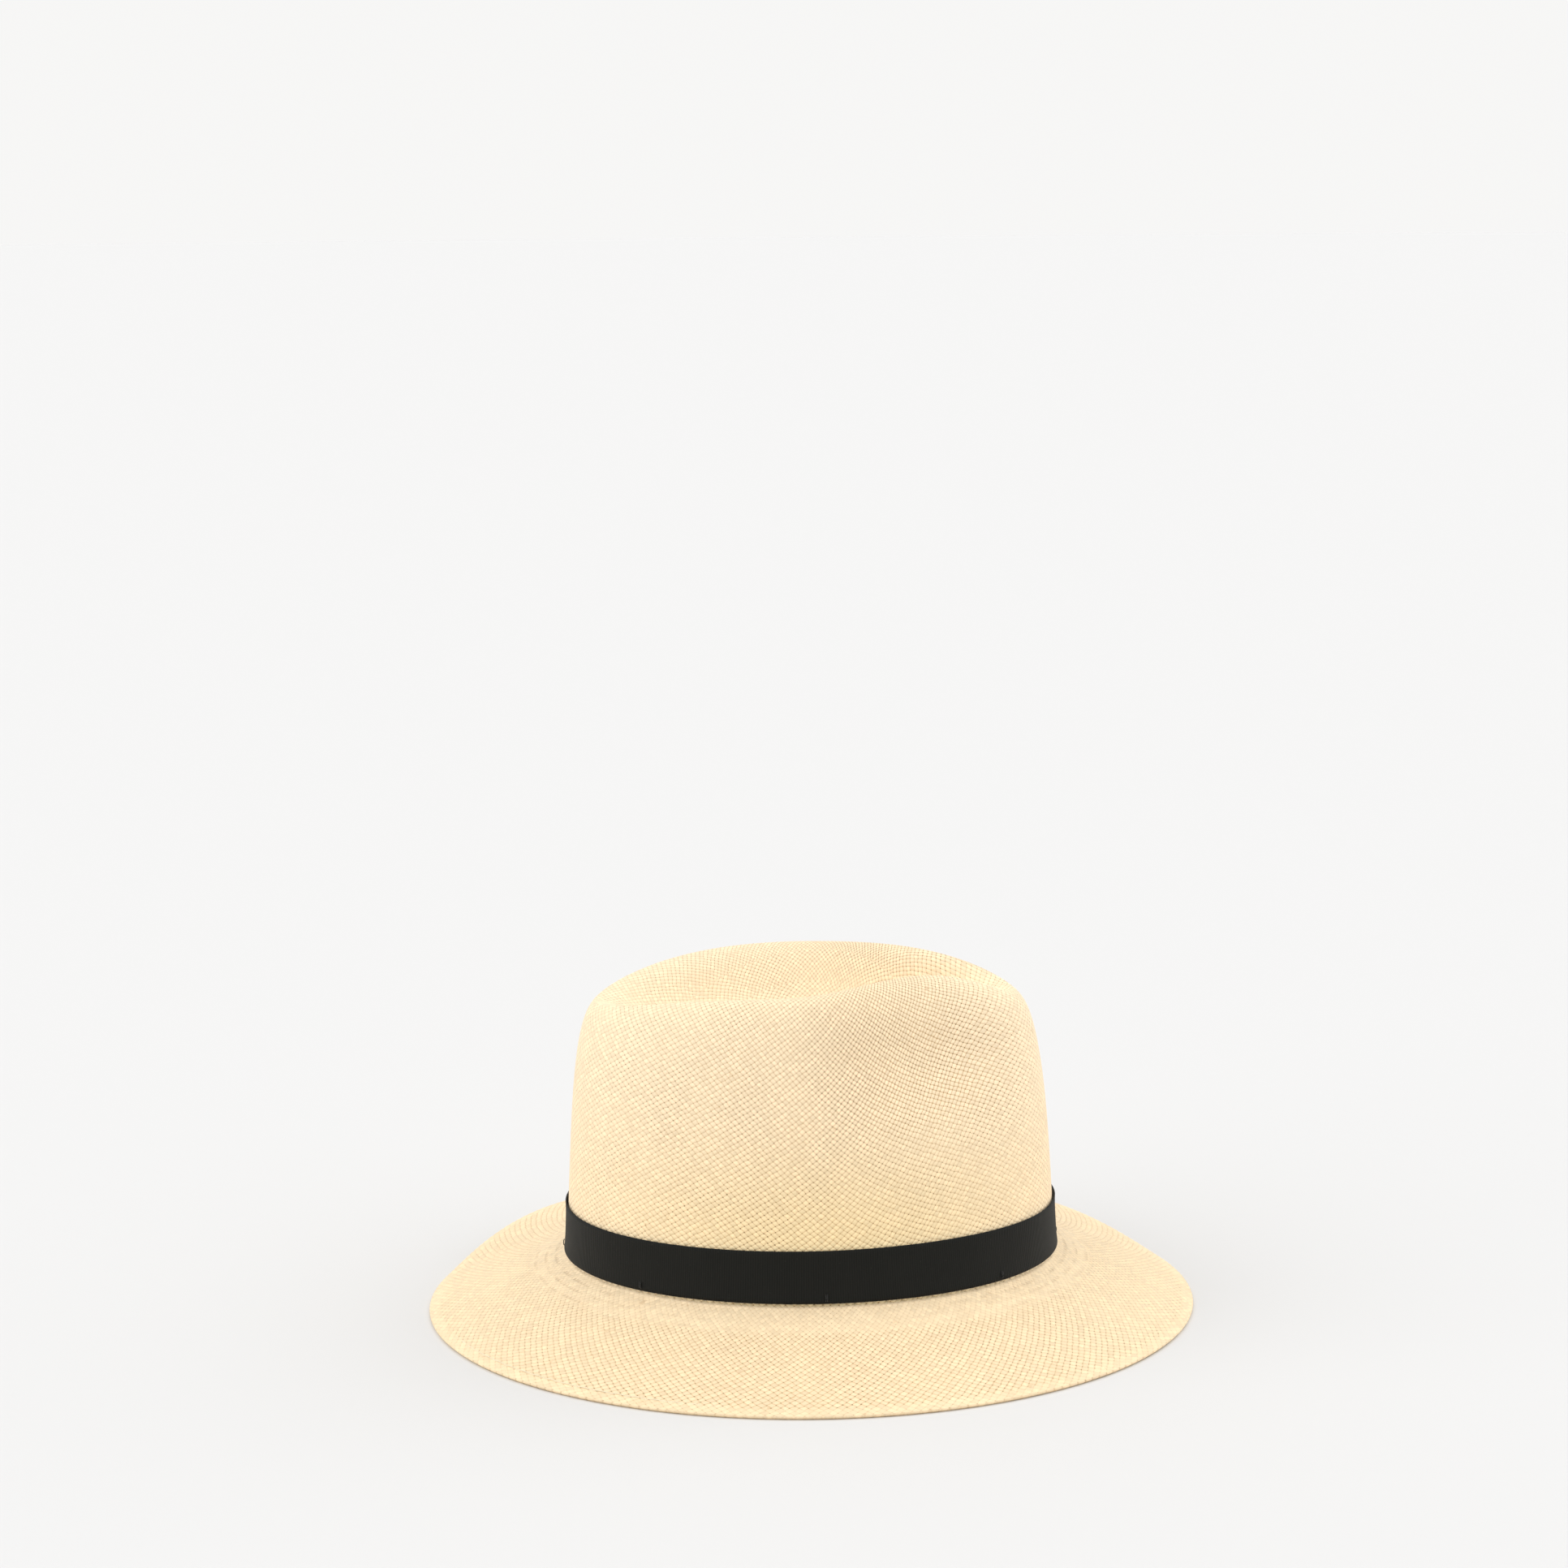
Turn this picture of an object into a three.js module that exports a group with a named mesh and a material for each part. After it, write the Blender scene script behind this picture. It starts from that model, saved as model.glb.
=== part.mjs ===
// Panama hat: a hand-woven straw body with a front pinch, a grosgrain hatband and a sewn-in sweatband.
// Millimetres. +X is the wearer's front, +Y the wearer's left, +Z up. The brim edge rests on z = 0.
import * as THREE from 'three';

// ---- Driving dimensions -------------------------------------------------------------------
const SEGMENTS = 60;              // facets around the head; every fitted ring shares them
const GAP = 0.35;                 // clearance between neighbouring pieces

// Straw body
const STRAW = 1.4;                // thickness of the weave
const CROWN_LENGTH = 201.2;       // outside, front to back, where the crown meets the brim
const CROWN_WIDTH = 168;          // outside, side to side, at the same height
const BREAK_Z = 23.4;             // height of the brim break at front and back
const BREAK_SIDE_RISE = 1.4;      // extra height of the break at both sides
const BRIM_LENGTH = 315.2;        // tip to tip over the brim
const BRIM_WIDTH = 282.6;         // side to side over the brim
const HEM_WIDTH = 2.2;            // flat underside of the thickened brim edge
const LEFT_LIFT = 9.3;            // the brim's left side stands this much higher
const LEFT_LEAN = 1.8;            // and this much more towards the back
const LEFT_FROM = 0.27;           // sine of the angle where the lift starts
const LEFT_TO = 0.8;              // and of the angle where it is complete

// Crown top: a ridge runs all the way round and a shallow basin lies inside it
const RIDGE_FRONT = 84.4;         // ridge reach towards the front
const RIDGE_BACK = 87.6;          // ridge reach towards the back
const RIDGE_SIDE = 54;            // half the distance between the side ridges
const RIDGE_Z = 139.4;            // ridge height at the sides
const RIDGE_BACK_DROP = 11;       // the ridge falls this much to the back
const RIDGE_FRONT_DROP = 10;      // and this much to the front
const BASIN_LENGTH = 96;          // floor of the basin
const BASIN_WIDTH = 30;
const BASIN_SHIFT = -4;           // the floor sits this far behind the middle
const BASIN_TAPER = 0.45;         // the floor narrows this much towards the front
const BASIN_Z = 119;              // height of the floor's rim
const BASIN_SAG = 1.5;            // the floor's centre is this much lower

// Front pinch: one dent pressed into each side of the crown's front
const PINCH_ANGLE = 0.95;         // radians from straight ahead
const PINCH_SPREAD = 0.5;         // angular reach of the dent
const PINCH_RIDGE = 18;           // how far the dent pulls the ridge in
const PINCH_LIFT = 3.7;           // how far it lifts the ridge
const PINCH_WALL = 6.5;           // how far it pushes the wall in
const PINCH_Z = 112;              // height of the wall dent's middle
const PINCH_REACH = 18;           // reach of the wall dent up and down

// Hatband and bow
const BAND_HEIGHT = 20.3;
const BAND_THICK = 0.8;
const BAND_LIFT = 1.2;            // lower edge above the brim break
const BOW_ANGLE = Math.PI / 2;    // the bow sits on the wearer's left
const WING_LENGTH = 34;           // one side of the bow, from its middle
const WING_THICK = 1.6;           // a folded double layer
const WING_NOTCH = 6;             // depth of the V cut in a wing's end
const KEEPER_WIDTH = 13;
const KEEPER_THICK = 1.2;
const TACKS = 7;                  // hand stitches that hold the band, the eighth place is the bow's
const TACK_LENGTH = 2.6;
const TACK_WIDTH = 0.7;

// Inside
const SWEAT_HEIGHT = 32;
const SWEAT_THICK = 1;
const SWEAT_LIFT = 3.2;           // lower edge above the brim break
const SWEAT_SLACK = 0.7;          // space between the straw and the leather
const REED_RADIUS = 0.9;
const THREAD_RADIUS = 0.35;
const SEAM_LIFT = 3;              // seam thread above the sweatband's lower edge
const TAPE_WIDTH = 9;             // closing tape over the sweatband's rear joint
const TAPE_THICK = 0.6;
const LITTLE_BOW = { length: 24, height: 8, waist: 3, thick: 1 };
const LABEL = { width: 24, height: 12, thick: 0.5, lift: 12 };
const HEM_THREAD_INSET = 5;       // hem thread's distance from the brim edge

// ---- Small helpers ------------------------------------------------------------------------
const up = new THREE.Vector3(0, 0, 1);

function mix(a, b, weights) {
  return a.clone().add(b.clone().sub(a).multiply(weights));
}

function flat(v) {
  return new THREE.Vector3(v.x, v.y, 0);
}

function angles(count = SEGMENTS) {
  return Array.from({ length: count }, (_, i) => (2 * Math.PI * i) / count);
}

function spread(from, to, steps) {
  return Array.from({ length: steps + 1 }, (_, i) => from + ((to - from) * i) / steps);
}

// Horizontal outward direction of the crown's oval at an angle.
function outward(angle) {
  return new THREE.Vector3(Math.cos(angle) / CROWN_LENGTH, Math.sin(angle) / CROWN_WIDTH, 0).normalize();
}

// ---- The hat's leading curves, each a point for an angle round the head --------------------
function pinchAt(angle) {
  const turned = Math.abs(Math.atan2(Math.sin(angle), Math.cos(angle)));
  return Math.exp(-(((turned - PINCH_ANGLE) / PINCH_SPREAD) ** 2));
}

function breakPoint(angle) {
  const [c, s] = [Math.cos(angle), Math.sin(angle)];
  return new THREE.Vector3((CROWN_LENGTH / 2) * c, (CROWN_WIDTH / 2) * s, BREAK_Z + BREAK_SIDE_RISE * s * s);
}

// Underside of the brim's edge: it rests on z = 0 except along the raised left side.
function footPoint(angle) {
  const [c, s] = [Math.cos(angle), Math.sin(angle)];
  const lift = (LEFT_LIFT - LEFT_LEAN * c) * THREE.MathUtils.smoothstep(s, LEFT_FROM, LEFT_TO);
  return new THREE.Vector3((BRIM_LENGTH / 2) * c, (BRIM_WIDTH / 2) * s, lift);
}

function edgePoint(angle) {
  return footPoint(angle).addScaledVector(up, STRAW);
}

function ridgePoint(angle) {
  const [c, s] = [Math.cos(angle), Math.sin(angle)];
  const reach = c > 0 ? RIDGE_FRONT : RIDGE_BACK;
  const pinch = pinchAt(angle);
  const drop = c > 0 ? RIDGE_FRONT_DROP * c ** 4 : RIDGE_BACK_DROP * Math.abs(c) ** 3;
  return new THREE.Vector3(
    reach * Math.sign(c) * Math.abs(c) ** 1.09 - 0.15 * PINCH_RIDGE * pinch * c,
    RIDGE_SIDE * Math.sign(s) * Math.abs(s) ** 1.09 - PINCH_RIDGE * pinch * Math.tanh(2.5 * s),
    RIDGE_Z - drop + PINCH_LIFT * pinch,
  );
}

function basinPoint(angle) {
  const [c, s] = [Math.cos(angle), Math.sin(angle)];
  const half = (BASIN_WIDTH / 2) * (1 - BASIN_TAPER * c);
  return new THREE.Vector3(BASIN_SHIFT + (BASIN_LENGTH / 2) * c, half * s, BASIN_Z);
}

// ---- The three curves that make one radial profile -----------------------------------------
function brimCurve(angle) {
  const [edge, root] = [edgePoint(angle), breakPoint(angle)];
  const nearEdge = mix(edge, root, new THREE.Vector3(0.33, 0.33, 0.3));
  const nearRoot = mix(root, edge, new THREE.Vector3(0.3, 0.3, 0.3));
  return new THREE.CubicBezierCurve3(edge, nearEdge, nearRoot, root);
}

function wallCurve(angle) {
  const [root, ridge] = [breakPoint(angle), ridgePoint(angle)];
  const lengthways = Math.cos(angle) ** 2;
  const lean = 0.34 - 0.13 * lengthways;
  const height = 1.0 - 0.07 * lengthways;
  const shoulder = 0.66 - 0.345 * lengthways;
  const lower = mix(root, ridge, new THREE.Vector3(lean, lean, 0.6));
  const upper = mix(root, ridge, new THREE.Vector3(shoulder, shoulder, height));
  return new THREE.CubicBezierCurve3(root, lower, upper, ridge);
}

// The wall curve with the pinch pressed into it.
function wallPoint(angle, t) {
  const p = wallCurve(angle).getPoint(t);
  const level = Math.exp(-(((p.z - PINCH_Z) / PINCH_REACH) ** 2));
  const inward = new THREE.Vector3(0.75 * Math.cos(angle), Math.sin(angle), 0).normalize();
  return p.addScaledVector(inward, -PINCH_WALL * pinchAt(angle) * level);
}

function topCurve(angle) {
  const [ridge, floor] = [ridgePoint(angle), basinPoint(angle)];
  const run = flat(floor.clone().sub(ridge));
  const length = run.length();
  run.normalize();
  return new THREE.CubicBezierCurve3(
    ridge,
    ridge.clone().addScaledVector(run, Math.min(0.45 * length, 14)),
    floor.clone().addScaledVector(run, -Math.min(0.45 * length, 16)),
    floor,
  );
}

// Point on the crown's outer wall at a height above the brim break, by bisection along the curve.
function wallAt(angle, rise) {
  const target = breakPoint(angle).z + rise;
  let [low, high] = [0, 1];
  for (let i = 0; i < 30; i++) {
    const middle = (low + high) / 2;
    if (wallPoint(angle, middle).z < target) low = middle;
    else high = middle;
  }
  return wallPoint(angle, low);
}

// ---- Solids ---------------------------------------------------------------------------------
// Joins sections of equally many points into a closed surface. An open row of sections is capped.
function loft(sections, closed) {
  const size = sections[0].length;
  const points = sections.flat();
  const index = [];
  const rows = closed ? sections.length : sections.length - 1;
  for (let i = 0; i < rows; i++) {
    const next = (i + 1) % sections.length;
    for (let j = 0; j < size; j++) {
      const k = (j + 1) % size;
      const [a, b, c, d] = [i * size + j, i * size + k, next * size + k, next * size + j];
      index.push(a, b, c, a, c, d);
    }
  }
  if (!closed) {
    for (const [row, flip] of [[0, true], [sections.length - 1, false]]) {
      const hub = points.length;
      const middle = new THREE.Vector3();
      sections[row].forEach((p) => middle.addScaledVector(p, 1 / size));
      points.push(middle);
      for (let j = 0; j < size; j++) {
        const [a, b] = [row * size + j, row * size + ((j + 1) % size)];
        index.push(...(flip ? [hub, b, a] : [hub, a, b]));
      }
    }
  }
  const geometry = new THREE.BufferGeometry().setFromPoints(points);
  geometry.setIndex(index);
  return facingOut(geometry);
}

// Turns the faces round if the body they enclose would have a negative volume.
function facingOut(geometry) {
  const position = geometry.getAttribute('position');
  const index = geometry.getIndex();
  const corner = (i) => new THREE.Vector3().fromBufferAttribute(position, index.getX(i));
  let volume = 0;
  for (let i = 0; i < index.count; i += 3) volume += corner(i).dot(corner(i + 1).cross(corner(i + 2)));
  if (volume < 0) index.array.reverse();
  geometry.computeVertexNormals();
  return geometry;
}

// Rings of the outer surface, from the brim edge over the ridge to the middle of the basin.
function outerRings() {
  const round = angles();
  const brimSteps = [...spread(0, 0.9, 5), 0.97];
  const wallSteps = [0.006, ...spread(0.06, 0.75, 7), 0.83, 0.9, 0.96, 1];
  const topSteps = spread(0, 1, 6).slice(1);
  const floorSteps = [0.55];
  const hub = new THREE.Vector3(BASIN_SHIFT, 0, BASIN_Z - BASIN_SAG);
  return [
    ...brimSteps.map((t) => round.map((a) => brimCurve(a).getPoint(t))),
    ...wallSteps.map((t) => round.map((a) => wallPoint(a, t))),
    ...topSteps.map((t) => round.map((a) => topCurve(a).getPoint(t))),
    ...floorSteps.map((t) => round.map((a) => basinPoint(a).lerp(hub, t))),
  ];
}

// The same rings moved inwards by the thickness, along the surface's own directions.
function innerRings(rings) {
  return rings.map((ring, i) => ring.map((p, j) => {
    const along = ring[(j + 1) % ring.length].clone().sub(ring[(j + ring.length - 1) % ring.length]);
    const above = rings[Math.min(i + 1, rings.length - 1)][j];
    const below = rings[Math.max(i - 1, 0)][j];
    const normal = along.cross(above.clone().sub(below)).normalize();
    return p.clone().addScaledVector(normal, -STRAW);
  }));
}

function strawBody() {
  const outer = outerRings();
  const inner = innerRings(outer).slice(1);
  const foot = angles().map((a) => footPoint(a));
  const hem = angles().map((a) => footPoint(a).addScaledVector(outward(a), -HEM_WIDTH));
  return loft([...outer.slice().reverse(), foot, hem, ...inner], false);
}

// A strip that follows the wall: its section is a thin upright plate with a row per height given.
function wallStrip(angleList, rises, near, far, closed) {
  return loft(angleList.map((a) => {
    const side = (offset) => rises.map((r) => wallAt(a, r).addScaledVector(outward(a), offset));
    return [...side(far), ...side(near).reverse()];
  }), closed);
}

// A closed ring of round section through one point per angle.
function ringCord(pointAt, radius, sides = 6) {
  return loft(angles().map((a) => {
    const [centre, out] = [pointAt(a), outward(a)];
    return angles(sides).map((turn) => centre.clone()
      .addScaledVector(out, radius * Math.cos(turn))
      .addScaledVector(up, radius * Math.sin(turn)));
  }), true);
}

// Angle round the head that lies a distance along the wall from another angle.
function angleAlong(start, distance) {
  const reach = flat(breakPoint(start + 0.01)).distanceTo(flat(breakPoint(start))) / 0.01;
  return start + distance / reach;
}

// Half of the hatband's bow: a flat folded loop with a notched end, bent round the crown.
function bowWing(direction) {
  const near = BAND_THICK + 2 * GAP;
  const [low, high] = [BAND_LIFT + 1, BAND_LIFT + BAND_HEIGHT - 1];
  const middle = (low + high) / 2;
  const start = GAP + 0.4;
  const columns = spread(0, 1, 6).map((t) => {
    const section = [low, middle, high].map((rise) => {
      const end = WING_LENGTH - (rise === middle ? WING_NOTCH : 0);
      const angle = angleAlong(BOW_ANGLE, direction * (start + (end - start) * t));
      return { point: wallAt(angle, rise), out: outward(angle) };
    });
    const side = (offset) => section.map(({ point, out }) => point.clone().addScaledVector(out, offset));
    return [...side(near + WING_THICK), ...side(near).reverse()];
  });
  return loft(columns, false);
}

function bowKeeper() {
  const half = KEEPER_WIDTH / 2;
  const angleList = spread(-half, half, 3).map((d) => angleAlong(BOW_ANGLE, d));
  const near = BAND_THICK + WING_THICK + 3 * GAP;
  const rises = [BAND_LIFT + 0.4, BAND_LIFT + BAND_HEIGHT / 2, BAND_LIFT + BAND_HEIGHT - 0.4];
  return wallStrip(angleList, rises, near, near + KEEPER_THICK, false);
}

function tack(angle) {
  const angleList = [-1, 1].map((side) => angleAlong(angle, (side * TACK_WIDTH) / 2));
  const near = BAND_THICK + 2 * GAP;
  return wallStrip(angleList, [BAND_LIFT + 1, BAND_LIFT + 1 + TACK_LENGTH], near, near + TACK_WIDTH, false);
}

// Pieces on the inside start from the straw's inner face.
const inside = -(STRAW + SWEAT_SLACK);
const sweatFace = inside - SWEAT_THICK - GAP;

function insideStrip(angle, width, rises, near, thick) {
  const angleList = spread(-width / 2, width / 2, 2).map((d) => angleAlong(angle, d));
  return wallStrip(angleList, rises, near - thick, near, false);
}

function littleBow() {
  const { length, height, waist, thick } = LITTLE_BOW;
  const middle = SWEAT_LIFT + 8;
  const near = sweatFace - TAPE_THICK - GAP;
  const columns = spread(-1, 1, 8).map((t) => {
    const angle = angleAlong(Math.PI, (t * length) / 2);
    const half = (waist + (height - waist) * Math.sqrt(Math.abs(t))) / 2;
    const out = outward(angle);
    const side = (offset) => [-half, half].map((r) => wallAt(angle, middle + r).addScaledVector(out, offset));
    return [...side(near), ...side(near - thick).reverse()];
  });
  return loft(columns, false);
}

// ---- Assembly -------------------------------------------------------------------------------
const colours = {
  straw: ['#f2dcaa', 0.75],
  ribbon: ['#23231f', 0.85],
  stitch: ['#1c1c1a', 0.8],
  sweat: ['#c9a47a', 0.6],
  reed: ['#d8cdb8', 0.5],
  thread: ['#f4ead2', 0.7],
  label: ['#efe9dc', 0.8],
};

const hat = new THREE.Group();

function add(name, geometry, look) {
  const [color, roughness] = colours[look];
  const material = new THREE.MeshStandardMaterial({ color, roughness, metalness: 0 });
  const mesh = new THREE.Mesh(geometry, material);
  mesh.name = name;
  hat.add(mesh);
}

const bandRises = [BAND_LIFT, BAND_LIFT + BAND_HEIGHT / 2, BAND_LIFT + BAND_HEIGHT];
const sweatRises = spread(SWEAT_LIFT, SWEAT_LIFT + SWEAT_HEIGHT, 3);
const tapeRises = [SWEAT_LIFT + 1, SWEAT_LIFT + SWEAT_HEIGHT / 2, SWEAT_LIFT + SWEAT_HEIGHT - 1];
const reedOffset = inside - REED_RADIUS;
const seamOffset = sweatFace - THREAD_RADIUS;

add('straw_body', strawBody(), 'straw');
add('hatband_ribbon', wallStrip(angles(), bandRises, GAP, GAP + BAND_THICK, true), 'ribbon');
add('bow_front_wing', bowWing(-1), 'ribbon');
add('bow_rear_wing', bowWing(1), 'ribbon');
add('bow_keeper', bowKeeper(), 'ribbon');
for (let i = 1; i <= TACKS; i++) {
  add(`hatband_tack_${i}`, tack(BOW_ANGLE + (2 * Math.PI * i) / (TACKS + 1)), 'stitch');
}
add('sweatband', wallStrip(angles(), sweatRises, inside - SWEAT_THICK, inside, true), 'sweat');
add('sweatband_reed', ringCord((a) => wallAt(a, SWEAT_LIFT - REED_RADIUS - GAP)
  .addScaledVector(outward(a), reedOffset), REED_RADIUS), 'reed');
add('sweatband_seam_thread', ringCord((a) => wallAt(a, SWEAT_LIFT + SEAM_LIFT)
  .addScaledVector(outward(a), seamOffset), THREAD_RADIUS, 4), 'thread');
const tapeFoot = SWEAT_LIFT + SEAM_LIFT + 1;
const aboveFoot = tapeRises.map((r) => Math.max(r, tapeFoot));
add('sweatband_rear_tape', insideStrip(Math.PI, TAPE_WIDTH, aboveFoot, sweatFace, TAPE_THICK), 'ribbon');
add('sweatband_rear_bow', littleBow(), 'ribbon');
const labelFoot = SWEAT_LIFT + LABEL.lift;
const labelRises = [labelFoot, labelFoot + LABEL.height];
add('size_label', insideStrip(-BOW_ANGLE, LABEL.width, labelRises, sweatFace, LABEL.thick), 'label');
add('brim_hem_thread', ringCord((a) => {
  const curve = brimCurve(a);
  const t = HEM_THREAD_INSET / curve.getLength();
  return curve.getPoint(t).addScaledVector(up, THREAD_RADIUS + GAP + 0.1);
}, THREAD_RADIUS, 4), 'thread');

export default hat;
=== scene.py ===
"""Looks of a woven straw panama hat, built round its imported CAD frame. Lengths in here are millimetres
until a mesh is made; +X is the front of the hat, +Y the wearer's left, +Z up."""
import math
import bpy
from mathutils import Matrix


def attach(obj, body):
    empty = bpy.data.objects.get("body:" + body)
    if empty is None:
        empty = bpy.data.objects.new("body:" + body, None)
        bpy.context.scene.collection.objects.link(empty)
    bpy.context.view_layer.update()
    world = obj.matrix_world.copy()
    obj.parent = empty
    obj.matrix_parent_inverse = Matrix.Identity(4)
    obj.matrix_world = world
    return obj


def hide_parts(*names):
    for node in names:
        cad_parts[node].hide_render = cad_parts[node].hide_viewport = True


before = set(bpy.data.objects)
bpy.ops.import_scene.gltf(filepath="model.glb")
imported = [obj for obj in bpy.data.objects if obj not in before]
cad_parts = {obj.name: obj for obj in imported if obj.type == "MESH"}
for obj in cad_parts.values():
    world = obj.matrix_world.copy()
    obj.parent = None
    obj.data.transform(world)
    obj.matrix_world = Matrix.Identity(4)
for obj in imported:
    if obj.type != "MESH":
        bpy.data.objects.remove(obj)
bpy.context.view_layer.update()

from types import SimpleNamespace

import bpy
import numpy as np
from mathutils import Matrix, Vector

TAU = 2 * math.pi

# ---- Dimensions, the same as the CAD part's but for the hem thread's -----------------------------
GAP = 0.35
CROWN_LENGTH, CROWN_WIDTH = 201.2, 168.0
BREAK_Z, BREAK_SIDE_RISE = 23.4, 1.4
BRIM_LENGTH, BRIM_WIDTH = 315.2, 282.6
LEFT_LIFT, LEFT_LEAN, LEFT_FROM, LEFT_TO = 9.3, 1.8, 0.27, 0.8
RIDGE_FRONT, RIDGE_BACK, RIDGE_SIDE, RIDGE_Z = 84.4, 87.6, 54.0, 139.4
RIDGE_BACK_DROP, RIDGE_FRONT_DROP = 11.0, 10.0
BASIN_LENGTH, BASIN_WIDTH, BASIN_SHIFT, BASIN_TAPER = 96.0, 30.0, -4.0, 0.45
BASIN_Z, BASIN_SAG = 119.0, 1.5
ROLL_SHARE, RIDGE_ROLL, BASIN_ROLL = 0.45, 14, 16       # how far the top runs level at its two ends
PINCH_ANGLE, PINCH_SPREAD = 0.95, 0.5
PINCH_RIDGE, PINCH_LIFT, PINCH_WALL, PINCH_Z, PINCH_REACH = 18.0, 3.7, 6.5, 112.0, 18.0
BAND_HEIGHT, BAND_THICK, BAND_LIFT = 20.3, 0.8, 1.2
BOW_ANGLE = math.pi / 2
WING_LENGTH, WING_THICK, WING_NOTCH = 34.0, 1.6, 6.0
KEEPER_WIDTH, KEEPER_THICK = 13.0, 1.2
TACKS, TACK_LENGTH, TACK_RADIUS = 7, 2.6, 0.2
STRAW, SWEAT_SLACK = 1.4, 0.7
SWEAT_HEIGHT, SWEAT_THICK, SWEAT_LIFT = 32.0, 1.0, 3.2
REED_RADIUS, SEAM_LIFT = 0.9, 3.0
TAPE_WIDTH, TAPE_THICK = 9.0, 0.6
LITTLE_BOW_LENGTH, LITTLE_BOW_HEIGHT, LITTLE_BOW_WAIST, LITTLE_BOW_THICK = 24.0, 8.0, 3.0, 1.0
LABEL_WIDTH, LABEL_HEIGHT, LABEL_THICK, LABEL_LIFT = 24.0, 12.0, 0.5, 12.0
HEM_THREAD_INSET, HEM_THREAD_RADIUS = 5.0, 0.24
THREAD_SHOWS, THREAD_REACH = -2.34, 0.42        # angle and reach of the stretch where it is on the surface
THREAD_DEPTH, THREAD_RISE = 0.40, 0.54          # how deep it lies elsewhere, how far it rises there
STRAW_FACE = -(STRAW + SWEAT_SLACK)             # offset of the sweatband's outer face from the wall
SWEAT_FACE = STRAW_FACE - SWEAT_THICK - GAP     # offset of what lies on the sweatband

# ---- Mesh detail ---------------------------------------------------------------------------------
COLUMNS = 480                    # mesh columns round the hat, two to each scallop of the edge
BRIM_ROWS, WALL_ROWS, TOP_ROWS, FLOOR_ROWS = 32, 54, 24, 8
BRIM_CROWDING = 1.3              # brings the brim's rows closer together near its edge
SCALLOP_DEPTH = 0.25
WOVEN_THICK = 1.1                # thickness of the woven sheet
RIM_UNDERCUT, RIM_FOOT = 1.9, 1.1               # how far inside the edge the underside and the foot start
RIM_FACE_INSET, RIM_FACE_HEIGHT = 0.12, 0.85
BAND_CURL = 0.3                  # the ribbon's two edges stand off the straw by this much
RIBBON_TRIM = 0.15               # the visible ribbon is thinner than the CAD one by this much
BOW_INSET = 1.0                  # the bow's ribbon is narrower than the hatband at each edge
WING_SPLIT, WING_STEP, WING_PUFF = 0.12, 3.0, 0.35      # the upper layer's gap, shorter length and fullness
WING_TRIM, WING_START = 0.08, 0.75
KEEPER_INSET = 0.4
KEEPER_WAIST = 0.14              # share of its width that the keeper loses at mid height
KEEPER_TRIM, KEEPER_FOLD = 0.25, 0.22
LITTLE_BOW_TRIM, LITTLE_BOW_CREASE, LITTLE_BOW_RISE = 0.35, 0.18, 8
KNOT_WIDTH, KNOT_HEIGHT = 2.8, 4.2
SEAM_STITCHES, STITCH_SHARE = 132, 0.68         # stitches round the sweatband, share of each step in thread
SEAM_ARCH, SEAM_RADIUS = 0.45, 0.33
LABEL_STITCHES, LABEL_STITCH_STEP, LABEL_STITCH_LENGTH = 4, 2.7, 1.9
LABEL_STITCH_INSET, LABEL_STITCH_ARCH, LABEL_STITCH_RADIUS = 1.2, 0.3, 0.18
TACK_ARCH = 0.3
SHEET_TRIM = 0.1                 # strips inside the hat stop this short of what they lie on

# ---- Weave ---------------------------------------------------------------------------------------
HEM_FROM, HEM_TO = 3.4, 5.2      # where the strip along the edge, woven back into itself, fades out
CROWN_GROWTH, BRIM_GROWTH = 0.42, 0.35          # strands met per millimetre going outwards
BRIM_STRANDS = 240
# Strands each way round the crown, from its middle outwards: (distance from the middle, strands added).
CROWN_STRANDS = ((0, 10), (4, 10), (8, 12), (14, 20), (22, 28), (34, 40), (50, 48))
STRAND_WANDER = 0.25             # how far a strand strays from its line, in strands
RINGS_FROM, RINGS_TO = 14, 18    # where the rows of finer weaving beside the band fade out
RING_PITCH, RING_DASHES = 4.6, 330
PINCH_OPENS = 78, 105            # heights between which the weave in the pinch opens
HEM_RIBS = 480
WEAVE_DEPTH = 0.34


# ---- Curves of the hat, for arrays of angles -----------------------------------------------------
def stack(x, y, z):
    return np.stack(np.broadcast_arrays(x, y, z), axis=-1)


def pinch_at(angle):
    turned = np.abs(np.arctan2(np.sin(angle), np.cos(angle)))
    return np.exp(-((turned - PINCH_ANGLE) / PINCH_SPREAD) ** 2)


def break_point(angle):
    c, s = np.cos(angle), np.sin(angle)
    return stack(CROWN_LENGTH / 2 * c, CROWN_WIDTH / 2 * s, BREAK_Z + BREAK_SIDE_RISE * s * s)


def foot_point(angle):
    """Underside of the brim's edge, which is raised along the left side."""
    c, s = np.cos(angle), np.sin(angle)
    share = np.clip((s - LEFT_FROM) / (LEFT_TO - LEFT_FROM), 0, 1)
    lift = (LEFT_LIFT - LEFT_LEAN * c) * share * share * (3 - 2 * share)
    return stack(BRIM_LENGTH / 2 * c, BRIM_WIDTH / 2 * s, lift)


def edge_point(angle):
    return foot_point(angle) + np.array([0, 0, STRAW])


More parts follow.
